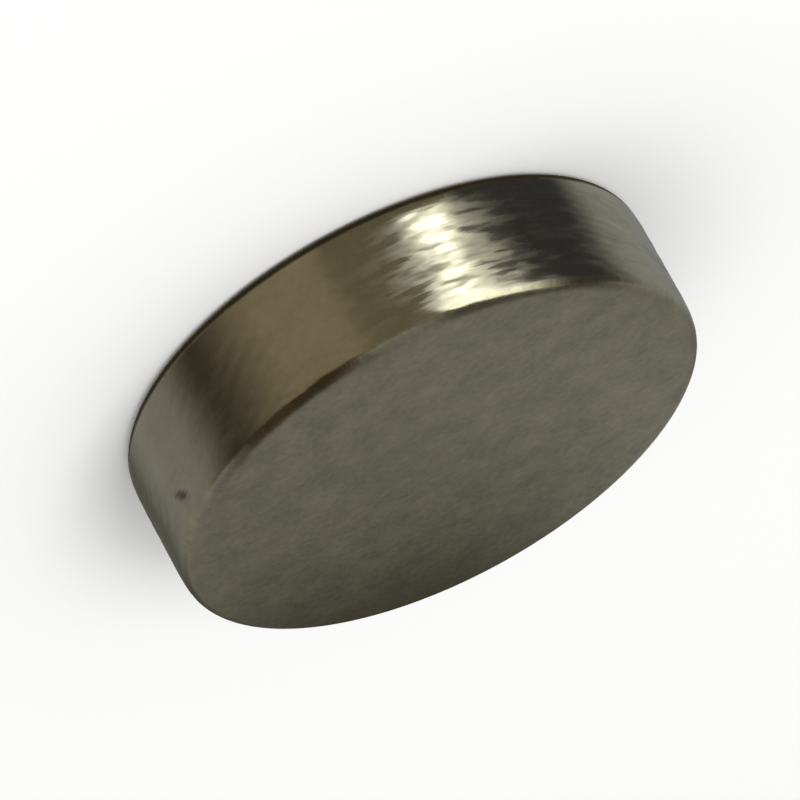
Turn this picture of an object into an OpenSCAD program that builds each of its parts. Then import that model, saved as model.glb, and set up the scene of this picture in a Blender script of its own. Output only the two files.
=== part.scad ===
// Disc magnet: a flat round permanent magnet, ground to size and then plated with nickel.
// It is one solid of revolution about Z. It rests on its lower pole face, with the origin at
// the centre of that face. All sizes are over the plating, in millimetres.

/* [Disc] */
// Diameter over the plating
disc_d = 12; // [4:0.5:60]
// Thickness over the plating, from pole face to pole face
disc_t = 3; // [1.5:0.25:30]

/* [Edges] */
// Radius that tumbling leaves on the rim's edge at the upper pole face
upper_edge_r = 0.22; // [0.05:0.01:0.6]
// Radius that tumbling leaves on the rim's edge at the lower pole face
lower_edge_r = 0.22; // [0.05:0.01:0.6]

/* [Hidden] */

// Sides of the full circles
$fn = 180;

// Outer radius of the rim
rim_r = disc_d / 2;
// Height of the ground cylindrical land that is left between the two rounded edges
land_h = disc_t - upper_edge_r - lower_edge_r;

// Half of the disc's section: the axis on the left, the rim with its rounded edges on the right
module half_section() {
    // Full-width web behind the cylindrical land
    translate([0, lower_edge_r])
        square([rim_r, land_h]);
    // Web out to the centre of the upper edge's arc
    translate([0, lower_edge_r + land_h])
        square([rim_r - upper_edge_r, upper_edge_r]);
    // Web out to the centre of the lower edge's arc
    square([rim_r - lower_edge_r, lower_edge_r]);
    // Rounded edge at the upper pole face
    translate([rim_r - upper_edge_r, disc_t - upper_edge_r])
        edge_arc(upper_edge_r, 0);
    // Rounded edge at the lower pole face
    translate([rim_r - lower_edge_r, lower_edge_r])
        edge_arc(lower_edge_r, -90);
}

// Quarter of a circle of radius r about its own centre, turned to fill the given quadrant
module edge_arc(r, turn) {
    rotate(turn)
        intersection() {
            circle(r);
            square(2 * r);
        }
}

// The magnet: sintered core and plating as the one piece that they are
module disc_magnet() {
    color("#8f8b7e")
        rotate_extrude()
            half_section();
}

disc_magnet();
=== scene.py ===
"""Looks of a plated disc magnet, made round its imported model.

The magnet is a sintered disc, ground on its rim, tumbled until its edges are round, and plated with
nickel. It lies on its lower pole face, and its axis is +Z. Lengths are in metres, and MM is one
millimetre. An azimuth is counted in degrees from -Y, the camera's side, towards +X.
"""
import math

import bpy
import numpy as np
from mathutils import Matrix, Vector


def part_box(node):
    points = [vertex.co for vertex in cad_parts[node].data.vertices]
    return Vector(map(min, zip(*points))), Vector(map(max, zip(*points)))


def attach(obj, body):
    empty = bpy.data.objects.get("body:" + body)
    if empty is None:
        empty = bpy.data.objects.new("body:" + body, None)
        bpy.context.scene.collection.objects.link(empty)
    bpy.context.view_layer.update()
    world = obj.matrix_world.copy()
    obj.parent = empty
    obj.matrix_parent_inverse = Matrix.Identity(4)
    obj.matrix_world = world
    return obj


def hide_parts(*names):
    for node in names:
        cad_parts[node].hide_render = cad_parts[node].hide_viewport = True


MM = 0.001

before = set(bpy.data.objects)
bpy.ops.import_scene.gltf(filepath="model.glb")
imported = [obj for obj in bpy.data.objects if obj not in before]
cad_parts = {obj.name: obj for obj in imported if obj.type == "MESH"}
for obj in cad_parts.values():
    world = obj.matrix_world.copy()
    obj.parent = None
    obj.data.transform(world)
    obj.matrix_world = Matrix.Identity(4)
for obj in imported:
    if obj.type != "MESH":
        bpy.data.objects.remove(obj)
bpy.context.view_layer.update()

# Disc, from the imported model
node_low, node_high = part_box("disc_magnet")
DISC_R = (node_high.x - node_low.x) / 2
DISC_T = node_high.z - node_low.z
EDGE_H = 0.22 * MM
ROLL_OFF_H = 0.55 * MM
ROLL_OFF_DEPTH = 0.033 * MM
# Where the land ends, its lean from upright. The edge's arc goes on from there.
END_LEAN = math.atan(3 * ROLL_OFF_DEPTH / ROLL_OFF_H)
ARC_R = EDGE_H / (1 - math.sin(END_LEAN))
ARC_CENTRE_R = DISC_R - ROLL_OFF_DEPTH - ARC_R * math.cos(END_LEAN)

# Pit in the rim's plating, a small flaw that the photograph shows
PIT_AZIMUTH = 58.0
PIT_HEIGHT = 2.31 * MM
PIT_TILT = -31
PIT_LENGTH = 0.70 * MM
PIT_WIDTH = 0.30 * MM
PIT_DEPTH = 0.008 * MM
# Faint stains on the upper pole face: x and y as shares of the disc's radius, and a size in mm
FACE_STAINS = ((0.77, -0.02, 0.26), (0.24, -0.04, 0.34), (0.44, 0.62, 0.30))
FACE_STAIN_SHARE = 0.22

# Reflectance of the plating at a grazing angle, as a share of a clean metal's
EDGE_TINT = "#f0f0f0"

# Where the Mix node keeps its second colour among its inputs, and the mixed one among its outputs
SECOND_COLOUR = 7
MIXED_COLOUR = 2

# Camera, as it stood to the disc in the photograph
CAMERA_AIM = Vector((0.20, -0.10, 1.30)) * MM
CAMERA_DISTANCE = 190.5 * MM
CAMERA_ELEVATION = 25.95
CAMERA_ROLL = -151.3
CAMERA_LENS = 410.7


def linear(hex_colour):
    """An sRGB hex colour as linear RGBA.

    Each channel c is c / 12.92 up to 0.04045, and ((c + 0.055) / 1.055) ** 2.4 above.
    """
    parts = [int(hex_colour[i:i + 2], 16) / 255 for i in (1, 3, 5)]
    return [c / 12.92 if c <= 0.04045 else ((c + 0.055) / 1.055) ** 2.4 for c in parts] + [1.0]


def add(tree, kind, links=None, values=None, **settings):
    """Adds a node with its settings, links its inputs to sockets and sets the values of other inputs."""
    made = tree.nodes.new(kind)
    for name, value in settings.items():
        setattr(made, name, value)
    for name, value in (values or {}).items():
        made.inputs[name].default_value = value
    for name, socket in (links or {}).items():
        tree.links.new(socket, made.inputs[name])
    return made


def towards(azimuth, elevation):
    """The unit direction with that azimuth and elevation in degrees."""
    a, e = math.radians(azimuth), math.radians(elevation)
    return Vector((math.sin(a) * math.cos(e), -math.cos(a) * math.cos(e), math.sin(e)))


# Magnet mesh

# Columns round the disc, rows up the land and over each edge, and rings on each pole face
COLUMNS = 900
LAND_ROWS = 66
EDGE_ROWS = 9
FACE_RINGS = 5
HUB_R = 0.25 * MM

# Waves of the ground relief: how many of each kind, how many crests each has round the rim, from the first
# number to below the second, and how deep or steep they are. The facets' pitch up the rim runs from
# FACET_PITCH to PITCH_SPREAD times that.
LOBE_CRESTS = (3, 12)
LOBE_DEPTH = 0.001 * MM
PATCHES = 12
PATCH_CRESTS = (4, 20)
FACETS = 130
FACET_CRESTS = (14, 60)
FACET_PITCH = 0.17 * MM
PITCH_SPREAD = 3
FACET_SLOPE = 0.0062
FACET_AZIMUTH = -20
FACET_FADE_H = 0.9 * MM

waves = np.random.default_rng(12)


def ground_relief(azimuth, height):
    """Depth of the facets and lobes that grinding and tumbling leave on the rim.

    It is a sum of cosines of (k * azimuth + 2 pi height / pitch + phase). Whole numbers k close each wave
    round the rim. The long waves are the lobes of centreless grinding. Each short wave is as deep as
    FACET_SLOPE / sqrt((k / radius) ** 2 + (2 pi / pitch) ** 2), and their sum is a field of facets a few
    tenths of a millimetre across. They are stronger in some patches than in others, and strongest at
    FACET_AZIMUTH, from which they fall off as exp(2 cos(turn) - 2). Below FACET_FADE_H they fade towards
    the lower edge.
    """
    lobes = np.zeros(np.broadcast(azimuth, height).shape)
    for k in range(*LOBE_CRESTS):
        lobes += LOBE_DEPTH * np.cos(k * azimuth + waves.uniform(0, math.tau))
    patches = np.zeros(lobes.shape)
    for _ in range(PATCHES):
        k = waves.integers(*PATCH_CRESTS)
        turn = k * azimuth + height / MM * waves.uniform(-3, 3) + waves.uniform(0, math.tau)
        patches += np.cos(turn) / 3
    facets = np.zeros(lobes.shape)
    for _ in range(FACETS):
        k = waves.integers(*FACET_CRESTS)
        pitch = FACET_PITCH * PITCH_SPREAD ** waves.uniform(0, 1) * waves.choice([-1, 1])
        depth = FACET_SLOPE / math.hypot(k / DISC_R, math.tau / pitch)
        facets += depth * np.cos(k * azimuth + math.tau * height / pitch + waves.uniform(0, math.tau))
    side = 0.3 + 0.7 * np.exp(2 * np.cos(azimuth - math.radians(FACET_AZIMUTH)) - 2)
    foot = np.clip(height / FACET_FADE_H, 0.2, 1)
    return lobes + facets * np.clip(1 + 0.5 * patches, 0.3, 2) * side * foot


def dent(azimuth, height):
    """How deep the pit in the rim is at a point, an oval bell.

    It is PIT_DEPTH * exp(-(way along / half length) ** 2 - (way across / half width) ** 2). Its length is
    turned by PIT_TILT from the way round the rim towards +Z.
    """
    turn = (azimuth - math.radians(PIT_AZIMUTH) + math.pi) % math.tau - math.pi
    tilt = math.radians(PIT_TILT)
    along = turn * DISC_R * math.cos(tilt) + (height - PIT_HEIGHT) * math.sin(tilt)
    across = (height - PIT_HEIGHT) * math.cos(tilt) - turn * DISC_R * math.sin(tilt)
    return PIT_DEPTH * np.exp(-(along / (PIT_LENGTH / 2)) ** 2 - (across / (PIT_WIDTH / 2)) ** 2)


def half_profile():
    """The disc's half section from the lower pole to the upper one, as radius and height of each ring.

    The rim is a straight land that falls away towards each edge by the depth * (way into the last stretch)
    cubed, where tumbling wears it. An arc goes on from there without a corner until it is level with the
    pole face: it starts at the lean whose tangent is 3 * depth / stretch, so its radius is
    edge height / (1 - sine of that lean). The pole faces are flat, with rings that lie closer towards
    the edge.
    """
    flat = HUB_R + (ARC_CENTRE_R - HUB_R) * np.linspace(0, 1, FACE_RINGS) ** 0.8
    turn = np.linspace(END_LEAN, math.pi / 2, EDGE_ROWS + 1)
    land = np.linspace(EDGE_H, DISC_T - EDGE_H, LAND_ROWS + 1)[1:-1]
    into = np.clip(1 - (np.minimum(land, DISC_T - land) - EDGE_H) / ROLL_OFF_H, 0, 1)
    edge_radius = ARC_CENTRE_R + ARC_R * np.cos(turn)
    edge_height = ARC_R * (1 - np.sin(turn))
    radius = np.concatenate([
        flat[:-1], edge_radius[::-1], DISC_R - ROLL_OFF_DEPTH * into ** 3, edge_radius, flat[-2::-1]])
    height = np.concatenate([
        np.zeros(flat.size - 1), edge_height[::-1], land, DISC_T - edge_height,
        np.full(flat.size - 1, DISC_T)])
    return radius, height


def magnet_points(radius, height):
    """Points of the magnet ring by ring, from the lowest one up, and then its lower and its upper pole.

    A point is (r sin a, -r cos a, z) for the ring's radius r and height z. The relief is taken off the
    radius on the land and fades out over the rounded edges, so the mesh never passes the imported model.
    """
    azimuth = np.arange(COLUMNS) * math.tau / COLUMNS
    a, r, z = azimuth[None, :], radius[:, None], height[:, None]
    relief = ground_relief(a, z)
    relief -= relief.min()
    relief += dent(a, z)
    on_rim = np.clip((r - DISC_R + EDGE_H) / EDGE_H, 0, 1) ** 2
    out = r - relief * on_rim
    points = np.stack([out * np.sin(a), -out * np.cos(a), np.broadcast_to(z, out.shape)], -1)
    return np.concatenate([points.reshape(-1, 3), [[0, 0, 0], [0, 0, DISC_T]]])


def magnet_mesh():
    """The magnet as one closed surface of revolution, a grid of rings by columns with a fan at each pole.

    Its UV map runs along the profile in U and round the rim in V, both in millimetres. Its finishes are
    0 on the pole faces, 1 on the rounded edges and 2 on the land.
    """
    radius, height = half_profile()
    rings = radius.size
    i, j = np.meshgrid(np.arange(COLUMNS), np.arange(rings - 1))
    beside = (i + 1) % COLUMNS
    below, above = j * COLUMNS, (j + 1) * COLUMNS
    quads = np.stack([below + i, below + beside, above + beside, above + i], -1).reshape(-1, 4)
    low_fan = np.stack([beside[0], i[0], np.full(COLUMNS, rings * COLUMNS)], -1)
    high_fan = np.stack([above[-1] + i[0], above[-1] + beside[0], low_fan[:, 2] + 1], -1)
    mesh = bpy.data.meshes.new("disc_magnet_plated")
    mesh.from_pydata(magnet_points(radius, height).tolist(), [],
                     quads.tolist() + low_fan.tolist() + high_fan.tolist())
    along = np.concatenate([[0], np.cumsum(np.hypot(np.diff(radius), np.diff(height)))]) / MM
    step = math.tau * DISC_R / COLUMNS / MM
    u = np.stack([along[j], along[j], along[j + 1], along[j + 1]], -1)
    v = np.stack([i, i + 1, i + 1, i], -1) * step
    fan = np.zeros((2 * COLUMNS * 3, 2))
    corners = np.concatenate([np.stack([u, v], -1).reshape(-1, 2), fan])
    mesh.uv_layers.new(name="Profile").data.foreach_set("uv", corners.ravel())
    first_edge, first_land = FACE_RINGS - 1, FACE_RINGS - 1 + EDGE_ROWS
    row = np.minimum(j, rings - 2 - j).ravel()
    finish = np.where(row < first_edge, 0, np.where(row < first_land, 1, 2))
    finish = np.concatenate([finish, np.zeros(2 * COLUMNS, int)])
    mesh.polygons.foreach_set("material_index", finish)
    mesh.polygons.foreach_set("use_smooth", np.ones(finish.size, bool))
    mesh.update()
    return mesh


# Materials

def metal(name, roughness, anisotropic=0.0):
    """A plated metal with plain numbers on the shader's own sockets, as material, tree and shader.

    A pattern that is linked to the roughness takes that number's place.
    """
    made = bpy.data.materials.new(name)
    made.use_nodes = True
    tree = made.node_tree
    shader = tree.nodes["Principled BSDF"]
    shader.inputs["Metallic"].default_value = 1.0
    shader.inputs["Roughness"].default_value = roughness
    shader.inputs["Anisotropic"].default_value = anisotropic
    shader.inputs["Specular Tint"].default_value = linear(EDGE_TINT)
    return made, tree, shader


def stain(tree, where, centre, size, ragged):
    """How much of a round stain lies at a point, 1 in its middle and 0 outside, with a ragged border."""
    away = add(tree, "ShaderNodeVectorMath", {0: where}, {1: centre}, operation="DISTANCE")
    frayed = add(tree, "ShaderNodeMath", {0: ragged, 2: away.outputs["Value"]}, {1: size * 0.5},
                 operation="MULTIPLY_ADD")
    return add(tree, "ShaderNodeMapRange", {"Value": frayed.outputs["Value"]},
               {"From Min": size * 0.35, "From Max": size * 0.85, "To Min": 1.0, "To Max": 0.0},
               interpolation_type="SMOOTHSTEP").outputs["Result"]


def grain(tree, where, size, detail, roughness, shift=(0, 0, 0)):
    """Strength of an uneven pattern at a point, with patches of that size in mm along x, y and z."""
    placed = add(tree, "ShaderNodeMapping", {"Vector": where},
                 {"Location": shift, "Scale": [1 / (length * MM) for length in size]})
    return add(tree, "ShaderNodeTexNoise", {"Vector": placed.outputs["Vector"]},
               {"Scale": 1.0, "Detail": detail, "Roughness": roughness}).outputs["Fac"]


def nickel(tree, where, dark, light):
    """The plating's own look: a cloudy tone between two hex colours, and the speckle that it is laid over.

    Returns the tone's colour and the speckle's value, which a matte surface also takes as its relief.
    """
    # Cloudy plating, patches about 0.8 mm across
    cloud = grain(tree, where, (0.8, 0.8, 0.8), 2.0, 0.6)
    # Speckle of the etched metal under the plating, drawn 0.16 mm across: the real grain is finer
    speckle = grain(tree, where, (0.16, 0.16, 0.16), 3.0, 0.65)
    both = add(tree, "ShaderNodeMix", {"A": cloud, "B": speckle}, {"Factor": 0.5}, data_type="FLOAT")
    tone = add(tree, "ShaderNodeValToRGB", {"Fac": both.outputs["Result"]})
    tone.color_ramp.elements[0].position, tone.color_ramp.elements[0].color = 0.34, linear(dark)
    tone.color_ramp.elements[1].position, tone.color_ramp.elements[1].color = 0.66, linear(light)
    return tone.outputs["Color"], speckle


def off_middle(tree, where):
    """Distance of a point above or below the middle of the disc's thickness."""
    parts = add(tree, "ShaderNodeSeparateXYZ", {"Vector": where})
    off = add(tree, "ShaderNodeMath", {0: parts.outputs["Z"]}, {1: -DISC_T / 2}, operation="ADD")
    return add(tree, "ShaderNodeMath", {0: off.outputs["Value"]}, operation="ABSOLUTE").outputs["Value"]


def wheel_bites(tree, where):
    """How much rougher the dashes and smears that the grinding wheel bit leave a point of the rim."""
    # Dashes, about 0.12 mm high and 1 mm long
    dash = grain(tree, where, (1.0, 1.0, 0.12), 2.0, 0.5)
    bitten = add(tree, "ShaderNodeMapRange", {"Value": dash},
                 {"From Min": 0.40, "From Max": 0.66, "To Min": 0.0, "To Max": 1.0},
                 interpolation_type="SMOOTHSTEP")
    # Smears over the dashes, about 0.3 mm high and 1.2 mm long
    smear = grain(tree, where, (1.2, 1.2, 0.3), 2.0, 0.6, shift=(3.1, 1.7, 0.4))
    smeared = add(tree, "ShaderNodeMapRange", {"Value": smear},
                  {"From Min": 0.44, "From Max": 0.62, "To Min": 0.0, "To Max": 1.3},
                  interpolation_type="SMOOTHSTEP")
    coarse = add(tree, "ShaderNodeMath", {0: bitten.outputs["Result"], 1: smeared.outputs["Result"]},
                 operation="ADD")
    # Both are strongest where the facets are deepest, and fall off to 0.3 of that 2 mm away
    deepest = towards(FACET_AZIMUTH, 0) * DISC_R + Vector((0, 0, DISC_T / 2))
    away = add(tree, "ShaderNodeVectorMath", {0: where}, {1: deepest}, operation="DISTANCE")
    patch = add(tree, "ShaderNodeMapRange", {"Value": away.outputs["Value"]},
                {"From Min": 0.8 * MM, "From Max": 2.0 * MM, "To Min": 1.0, "To Max": 0.3},
                interpolation_type="SMOOTHSTEP")
    return add(tree, "ShaderNodeMath", {0: coarse.outputs["Value"], 1: patch.outputs["Result"]},
               operation="MULTIPLY").outputs["Value"]


def pit_stain(tree, where, ragged):
    """How much of the pit's dark stain lies at a point, worked out along the pit's own length and width."""
    outwards = towards(PIT_AZIMUTH, 0)
    along = Matrix.Rotation(math.radians(PIT_TILT), 3, outwards) @ Vector((0, 0, 1)).cross(outwards)
    turned = Matrix((along, outwards.cross(along), outwards)).transposed().to_euler()
    pit_at = add(tree, "ShaderNodeMapping", {"Vector": where}, {
        "Location": outwards * DISC_R + Vector((0, 0, PIT_HEIGHT)), "Rotation": turned,
        "Scale": (PIT_LENGTH, PIT_WIDTH, PIT_LENGTH)}, vector_type="TEXTURE")
    return stain(tree, pit_at.outputs["Vector"], (0, 0, 0), 1.0, ragged)


def ground_rim():
    """Nickel over a centreless-ground rim.

    The grinding marks run round the rim, so it smears light more along the axis than round it. Dashes
    and smears where the wheel bit are rougher and scatter a bright reflection. Tumbling has burnished
    both ends of the land, which mirror more sharply than its middle.
    """
    made, tree, shader = metal("nickel_ground_rim", 0.24, 0.40)
    tangent = add(tree, "ShaderNodeTangent", direction_type="UV_MAP", uv_map="Profile")
    tree.links.new(tangent.outputs["Tangent"], shader.inputs["Tangent"])
    where = add(tree, "ShaderNodeTexCoord").outputs["Object"]
    tone, _ = nickel(tree, where, "#736f62", "#7d796c")
    # Grinding scratches, drawn 0.06 mm wide and 1 mm long: the real grit leaves finer ones
    mark = grain(tree, where, (1.0, 1.0, 0.06), 2.0, 0.55)
    bump = add(tree, "ShaderNodeBump", {"Height": mark}, {"Strength": 1.0, "Distance": 0.0018 * MM})
    tree.links.new(bump.outputs["Normal"], shader.inputs["Normal"])
    uneven = wheel_bites(tree, where)
    # The bites are fainter at the burnished ends of the land, whose border the scratches fray
    frayed = add(tree, "ShaderNodeMath", {0: mark, 2: off_middle(tree, where)}, {1: 0.3 * MM},
                 operation="MULTIPLY_ADD")
    worn = add(tree, "ShaderNodeMapRange", {"Value": frayed.outputs["Value"]},
               {"From Min": DISC_T / 2 - 0.42 * MM, "From Max": DISC_T / 2 - 0.12 * MM,
                "To Min": 0.28, "To Max": 0.06}, interpolation_type="SMOOTHSTEP")
    rough = add(tree, "ShaderNodeMath", {0: uneven, 1: worn.outputs["Result"]}, {2: 0.17},
                operation="MULTIPLY_ADD")
    tree.links.new(rough.outputs["Value"], shader.inputs["Roughness"])
    base = add(tree, "ShaderNodeMix", {"Factor": pit_stain(tree, where, mark), "A": tone},
               {SECOND_COLOUR: linear("#3a3732")}, data_type="RGBA")
    tree.links.new(base.outputs[MIXED_COLOUR], shader.inputs["Base Color"])
    return made


def tumbled_edge():
    """Nickel over a tumbled edge: burnished where it leaves the rim, and matte again at the pole face."""
    made, tree, shader = metal("nickel_tumbled_edge", 0.30)
    where = add(tree, "ShaderNodeTexCoord").outputs["Object"]
    tone, speckle = nickel(tree, where, "#6f6b5b", "#878371")
    tree.links.new(tone, shader.inputs["Base Color"])
    worn = add(tree, "ShaderNodeMapRange", {"Value": off_middle(tree, where)},
               {"From Min": DISC_T / 2 - EDGE_H / 2, "From Max": DISC_T / 2 - 0.01 * MM,
                "To Min": 0.24, "To Max": 0.48})
    tree.links.new(worn.outputs["Result"], shader.inputs["Roughness"])
    bump = add(tree, "ShaderNodeBump", {"Height": speckle}, {"Strength": 1.0, "Distance": 0.006 * MM})
    tree.links.new(bump.outputs["Normal"], shader.inputs["Normal"])
    return made


def lapped_face():
    """Nickel over a lapped pole face: matte and cloudy, with a fine even speckle and faint stains."""
    made, tree, shader = metal("nickel_lapped_face", 0.48)
    where = add(tree, "ShaderNodeTexCoord").outputs["Object"]
    base, speckle = nickel(tree, where, "#6f6b5b", "#878371")
    for x, y, size in FACE_STAINS:
        spot = stain(tree, where, (x * DISC_R, y * DISC_R, DISC_T), size * MM, speckle)
        faint = add(tree, "ShaderNodeMath", {0: spot}, {1: FACE_STAIN_SHARE}, operation="MULTIPLY")
        base = add(tree, "ShaderNodeMix", {"Factor": faint.outputs["Value"], "A": base},
                   {SECOND_COLOUR: linear("#4a463c")}, data_type="RGBA").outputs[MIXED_COLOUR]
    tree.links.new(base, shader.inputs["Base Color"])
    bump = add(tree, "ShaderNodeBump", {"Height": speckle}, {"Strength": 1.0, "Distance": 0.012 * MM})
    tree.links.new(bump.outputs["Normal"], shader.inputs["Normal"])
    return made


def magnet():
    """The plated disc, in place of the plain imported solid."""
    mesh = magnet_mesh()
    for material in (lapped_face(), tumbled_edge(), ground_rim()):
        mesh.materials.append(material)
    piece = bpy.data.objects.new("disc_magnet_plated", mesh)
    bpy.context.scene.collection.objects.link(piece)
    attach(piece, "root")
    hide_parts("disc_magnet")


# Studio

def floor():
    """A plain pale floor, a large round sheet just under the disc."""
    around = np.arange(96) * math.tau / 96
    reach, drop = 3.0, 0.002 * MM
    points = np.stack([reach * np.sin(around), -reach * np.cos(around), np.full(96, -drop)], -1)
    mesh = bpy.data.meshes.new("studio_floor")
    mesh.from_pydata(points.tolist(), [], [list(range(96))])
    made = bpy.data.materials.new("floor_paper")
    made.use_nodes = True
    shader = made.node_tree.nodes["Principled BSDF"]
    shader.inputs["Base Color"].default_value = linear("#fcfcfb")
    shader.inputs["Roughness"].default_value = 0.9
    shader.inputs["Specular IOR Level"].default_value = 0.0
    mesh.materials.append(made)
    sheet = bpy.data.objects.new("studio_floor", mesh)
    bpy.context.scene.collection.objects.link(sheet)


def sky():
    """A world that is pale at the horizon and greyer overhead, as in a room with a white cove."""
    world = bpy.data.worlds.new("studio_room")
    bpy.context.scene.world = world
    world.use_nodes = True
    tree = world.node_tree
    where = add(tree, "ShaderNodeTexCoord")
    parts = add(tree, "ShaderNodeSeparateXYZ", {"Vector": where.outputs["Generated"]})
    ramp = add(tree, "ShaderNodeMapRange", {"Value": parts.outputs["Z"]},
               {"From Min": 0.0, "From Max": 0.6, "To Min": 0.92, "To Max": 0.64})
    tree.links.new(ramp.outputs["Result"], tree.nodes["Background"].inputs["Strength"])
    tree.nodes["Background"].inputs["Color"].default_value = (1, 1, 1, 1)


def softbox(name, azimuth, elevation, distance, width, height, radiance):
    """A soft white lamp that faces the disc and isn't mirrored, of the power radiance * pi * area."""
    lamp = bpy.data.lights.new(name, "AREA")
    lamp.shape = "RECTANGLE"
    lamp.size, lamp.size_y = width, height
    lamp.energy = radiance * math.pi * width * height
    held = bpy.data.objects.new(name, lamp)
    bpy.context.scene.collection.objects.link(held)
    held.location = towards(azimuth, elevation) * distance
    held.rotation_euler = towards(azimuth, elevation).to_track_quat("Z", "Y").to_euler()
    held.visible_camera = held.visible_glossy = False


def card(name, points, colour, strength, fade=(0.0, 0.0)):
    """A card that only reflections see, from a grid of points in rows and columns, which glows evenly.

    It fades out smoothly towards its first and last column, each over that share of its width.
    """
    rows, columns = points.shape[:2]
    i, j = np.meshgrid(np.arange(columns - 1), np.arange(rows - 1))
    at = j * columns + i
    quads = np.stack([at, at + 1, at + columns + 1, at + columns], -1).reshape(-1, 4)
    mesh = bpy.data.meshes.new(name)
    mesh.from_pydata(points.reshape(-1, 3).tolist(), [], quads.tolist())
    across = np.stack([i, i + 1, i + 1, i], -1) / (columns - 1)
    up = np.stack([j, j, j + 1, j + 1], -1) / (rows - 1)
    mesh.uv_layers.new(name="Card").data.foreach_set("uv", np.stack([across, up], -1).ravel())
    made = bpy.data.materials.new(name)
    made.use_nodes = True
    tree = made.node_tree
    tree.nodes.clear()
    glow = add(tree, "ShaderNodeEmission", None, {"Color": linear(colour), "Strength": strength})
    surface = glow.outputs["Emission"]
    if max(fade) > 0:
        where = add(tree, "ShaderNodeUVMap", uv_map="Card")
        parts = add(tree, "ShaderNodeSeparateXYZ", {"Vector": where.outputs["UV"]})
        first = add(tree, "ShaderNodeMapRange", {"Value": parts.outputs["X"]},
                    {"From Min": -1e-4, "From Max": fade[0]}, interpolation_type="SMOOTHSTEP")
        last = add(tree, "ShaderNodeMapRange", {"Value": parts.outputs["X"]},
                   {"From Min": 1 + 1e-4, "From Max": 1 - fade[1]}, interpolation_type="SMOOTHSTEP")
        whole = add(tree, "ShaderNodeMath", {0: first.outputs["Result"], 1: last.outputs["Result"]},
                    operation="MULTIPLY")
        clear = add(tree, "ShaderNodeBsdfTransparent")
        surface = add(tree, "ShaderNodeMixShader", {
            "Fac": whole.outputs["Value"], 1: clear.outputs["BSDF"], 2: surface}).outputs["Shader"]
    add(tree, "ShaderNodeOutputMaterial", {"Surface": surface})
    mesh.materials.append(made)
    sheet = bpy.data.objects.new(name, mesh)
    bpy.context.scene.collection.objects.link(sheet)
    sheet.visible_camera = sheet.visible_diffuse = sheet.visible_shadow = False
    sheet.visible_transmission = sheet.visible_volume_scatter = False


def cove(first, last, wall, near=0.15, layer=0, waist=0.0):
    """Points of a card that lies on the floor from the disc's foot and then stands up, with heights in mm.

    It follows the lines that the rim mirrors towards the camera: the point at distance s off the rim's
    azimuth p is DISC_R * towards(p) + s * towards(2 p), so the card shows on the rim from azimuth first to
    last, at every height. It starts at the distance near from the rim and reaches the height wall. A
    higher layer lies over the lower ones and stands in front of them. The waist is the share of its
    width that it loses about the distance waist_off, on which the middle of the rim's height looks.
    """
    # Each layer's rise over the floor, its step towards the disc, and the distance past which it steps
    rise, step, bend = 0.02, 0.25, 5
    waist_off, waist_reach = 3.4, 1.3
    off = np.array([near, 1.4, 2.2, 3.0, 3.8, 4.6, 6.0, 7.6, 8.3, 8.5])[:, None]
    up = np.array([rise] * 7 + [0.4, 1.4, wall])[:, None] + rise * layer
    drawn_in = 1 - waist * np.exp(-((off - waist_off) / waist_reach) ** 2)
    azimuths = (first + last) / 2 + (last - first) * np.linspace(-0.5, 0.5, 33)[None, :] * drawn_in
    return along_mirror_lines(azimuths, off - step * layer * (off > bend), up)


def along_mirror_lines(azimuths, off, up):
    """Points at the distances off and heights up in mm, on the lines that the rim's azimuths mirror."""
    p = np.radians(azimuths)
    x = DISC_R * np.sin(p) + off * MM * np.sin(2 * p)
    y = -DISC_R * np.cos(p) - off * MM * np.cos(2 * p)
    return np.stack([x, y, np.broadcast_to(up * MM, x.shape)], -1)


def edge_card(first, last, low, high, off):
    """Points of a card that the rounded upper edge mirrors towards the camera, at the distance off in mm.

    A surface whose normal n has the azimuth p and leans up by t mirrors the camera's line of sight d in the
    direction d - 2 (d . n) n. The card shows on the edge from azimuth first to last, and from the lean low
    to the lean high. Each lean is a pair in degrees, for the card's first side and for its last.
    """
    share, rise = np.meshgrid(np.linspace(0, 1, 33), np.linspace(0, 1, 13))
    p = np.radians(first + (last - first) * share)
    bottom, top = low[0] + (low[1] - low[0]) * share, high[0] + (high[1] - high[0]) * share
    t = np.radians(bottom + (top - bottom) * rise)
    normal = np.stack([np.sin(p) * np.cos(t), -np.cos(p) * np.cos(t), np.sin(t)], -1)
    sight = -np.array(towards(0, CAMERA_ELEVATION))
    mirrored = sight - 2 * (normal @ sight)[..., None] * normal
    into = np.sqrt(np.minimum(np.tan(t) / math.tan(END_LEAN), 1))
    on_land = t < END_LEAN
    r = np.where(on_land, DISC_R - ROLL_OFF_DEPTH * into ** 3, ARC_CENTRE_R + ARC_R * np.cos(t))
    h = np.where(on_land, EDGE_H + (1 - into) * ROLL_OFF_H, ARC_R * (1 - np.sin(t)))
    return np.stack([r * np.sin(p), -r * np.cos(p), DISC_T - h], -1) + off * MM * mirrored


def foot_ring(inner, outer, up):
    """Points of a flat ring on the floor under the disc's edge, from one radius to another, in mm."""
    around = np.linspace(0, math.tau, 181)[:, None]
    radius = np.linspace(inner, outer, 9)[None, :] * MM
    x, y = radius * np.sin(around), -radius * np.cos(around)
    return np.stack([x, y, np.full(x.shape, up * MM)], -1)


def dome(azimuths, elevations, radius):
    """Points of a patch of a sphere round the disc, with its radius in mm."""
    a = np.radians(np.linspace(*azimuths, 13))[None, :]
    e = np.radians(np.linspace(*elevations, 13))[:, None]
    x, y = radius * MM * np.cos(e) * np.sin(a), -radius * MM * np.cos(e) * np.cos(a)
    return np.stack([x, y, np.broadcast_to(radius * MM * np.sin(e), x.shape) + DISC_T / 2], -1)


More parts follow.
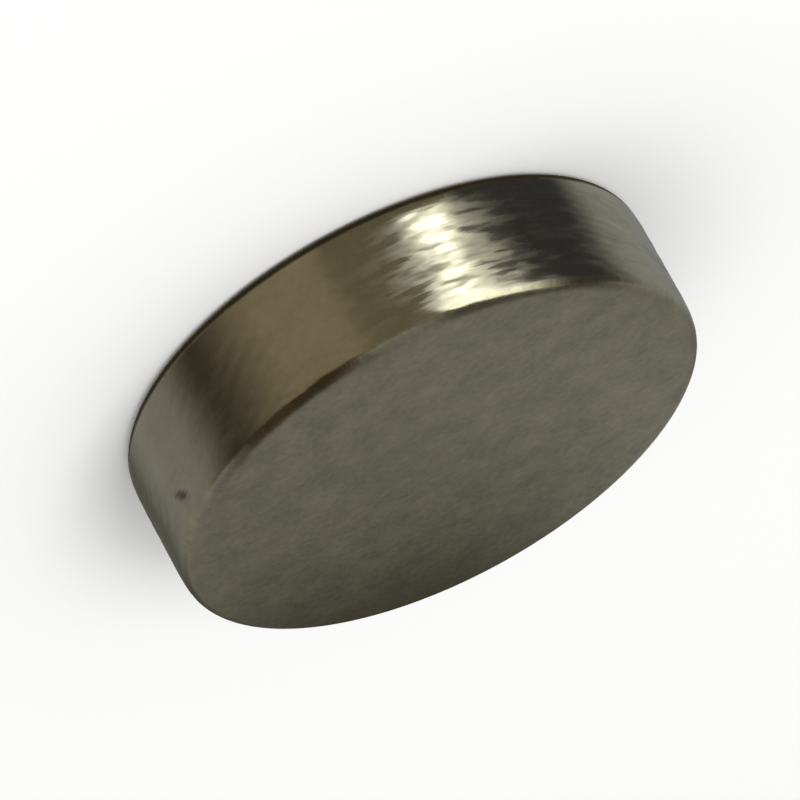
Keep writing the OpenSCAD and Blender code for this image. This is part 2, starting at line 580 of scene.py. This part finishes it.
def studio():
    """Floor, room, lamps and the cards that the plating mirrors."""
    floor()
    sky()
    softbox("key_softbox", -38, 52, 0.50, 0.30, 0.30, 3.4)
    softbox("fill_softbox", 60, 48, 0.60, 0.40, 0.40, 0.8)
    card("pale_card_left", cove(-89, -50, 5.0), "#e2e6e0", 1.0)
    card("side_card_left", cove(-89, -66, 5.0, layer=1), "#a6a8a4", 1.0, (0.0, 0.7))
    card("dark_card_left", cove(-62, -25, 6.0, layer=1), "#606165", 1.0, (0.30, 0.13))
    card("bright_strip", cove(-27.2, -12.4, 2.6, near=0.6, layer=3, waist=0.26),
         "#fbfff8", 8.2, (0.34, 0.45))
    card("bright_wing", cove(-38, -7, 3.0, near=0.5, layer=2), "#f4f0ec", 0.62, (0.55, 0.35))
    card("bright_flare", edge_card(-43.5, -11.5, (11, 2), (54, 8), 1.5), "#fbfff8", 5.8, (0.65, 0.1))
    card("dim_card", cove(-26, 12, 5.0), "#b6ac8e", 1.0)
    card("warm_card", cove(0, 40, 3.2, layer=1), "#e6d8b8", 1.0, (0.12, 0.1))
    card("dark_card_right", cove(16, 49.5, 4.0, layer=2), "#6e6758", 1.0, (0.61, 0.39))
    card("pale_card_right", cove(38, 89, 5.0), "#dcdbd4", 1.0)
    card("side_card_right", cove(61, 89, 5.0, layer=1), "#74746a", 1.0, (0.6, 0.0))
    card("dark_hood_left", edge_card(-58, -8, (12, 12), (66, 66), 3.5), "#6a665c", 1.0, (0.15, 0.2))
    card("dark_hood_right", edge_card(3, 44, (12, 12), (65, 65), 5), "#63563f", 1.0, (0.1, 0.25))
    card("foot_shade", foot_ring(5.86, 6.28, 0.012), "#5a523e", 1.0, (0.0, 0.5))
    card("dark_card_back", dome((108, 212), (-6, 30), 9), "#5b564b", 1.0, (0.42, 0.42))


def camera():
    """The camera at the photograph's viewing angle, rolled as the photograph's was."""
    lens = bpy.data.cameras.new("camera")
    lens.sensor_width = 36
    lens.lens = CAMERA_LENS
    lens.clip_start, lens.clip_end = 1 * MM, 10.0
    held = bpy.data.objects.new("camera", lens)
    bpy.context.scene.collection.objects.link(held)
    back = towards(0, CAMERA_ELEVATION)
    level = back.to_track_quat("Z", "Y").to_matrix()
    roll = Matrix.Rotation(math.radians(-CAMERA_ROLL), 3, "Z")
    held.matrix_world = Matrix.Translation(CAMERA_AIM + back * CAMERA_DISTANCE) @ (level @ roll).to_4x4()
    bpy.context.scene.camera = held


bpy.context.scene.view_settings.view_transform = "Standard"
magnet()
studio()
camera()
